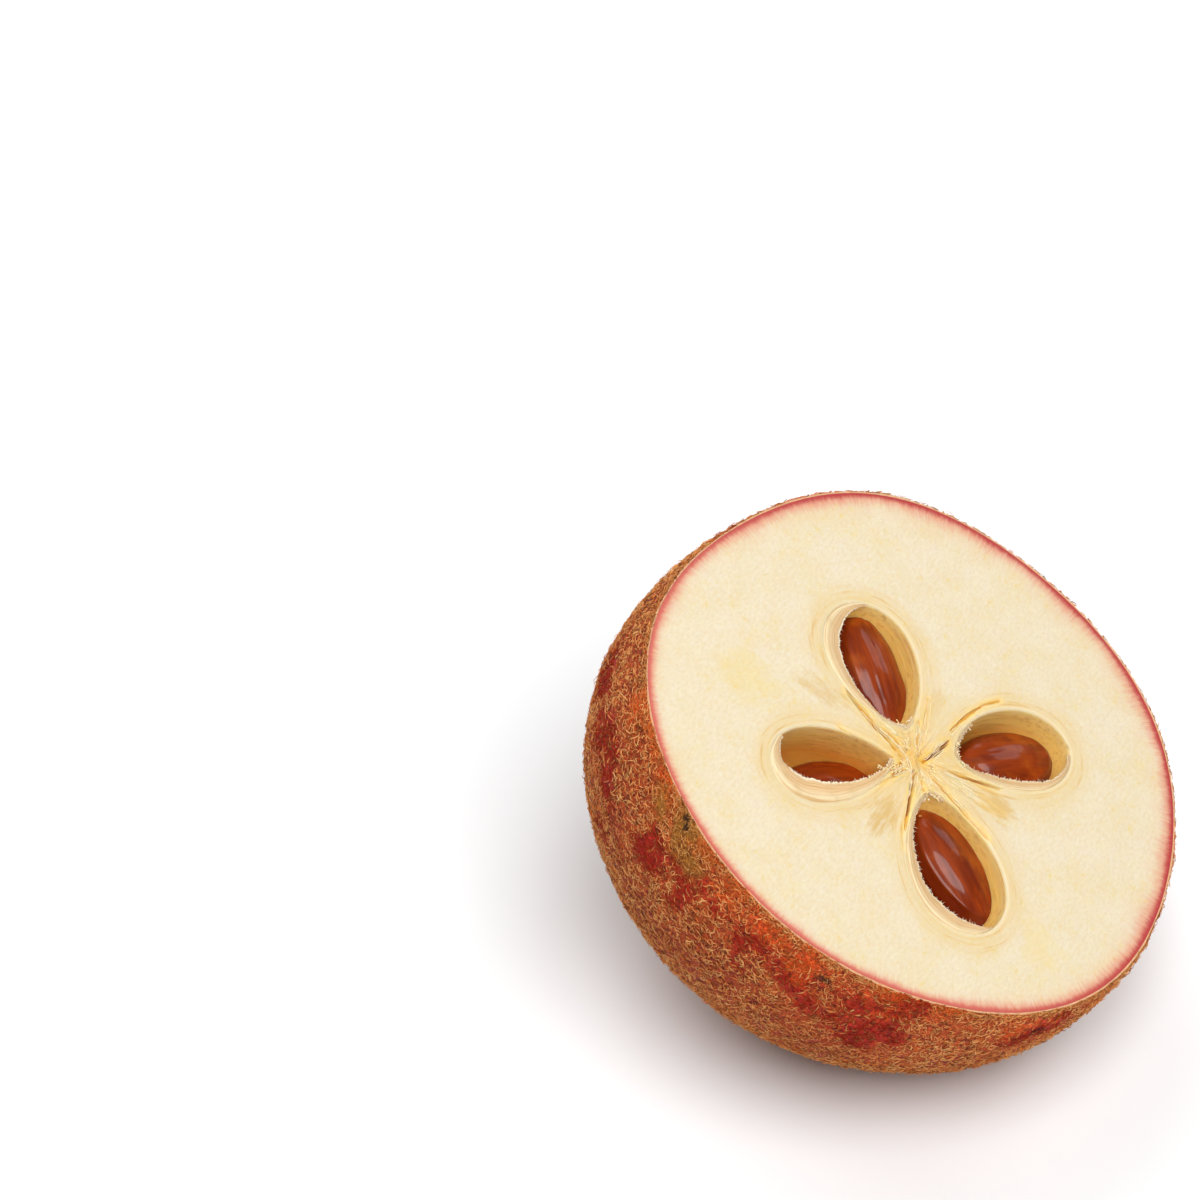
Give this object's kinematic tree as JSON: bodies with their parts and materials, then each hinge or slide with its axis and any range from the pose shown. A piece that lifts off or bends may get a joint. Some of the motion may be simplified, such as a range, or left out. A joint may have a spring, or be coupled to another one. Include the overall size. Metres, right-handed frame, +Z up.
{
  "type": "velvet apple half",
  "caption": "Half of a round tropical fruit with short velvety fuzz, cut across its core to show pale flesh and hollows that hold large glossy seeds.",
  "frame": {"origin": "on the surface that the half lies on, under the middle of its box", "axes": "+Z up; the cut face looks up and towards -Y, its normal 30.2 degrees from +Z; +X along the level diameter of the cut face"},
  "size_m": [0.0838, 0.0822, 0.0657],
  "materials": {
    "flesh": "moist cream fruit flesh, matte to satin",
    "velvet_skin": "russet skin under short curly tan fuzz",
    "seed_coat": "smooth glossy dark red-brown seed coat"
  },
  "bodies": {
    "root": {"fruit_half": "flesh", "seed_1": "seed_coat", "seed_2": "seed_coat", "seed_3": "seed_coat", "seed_4": "seed_coat"}
  },
  "joints": []
}
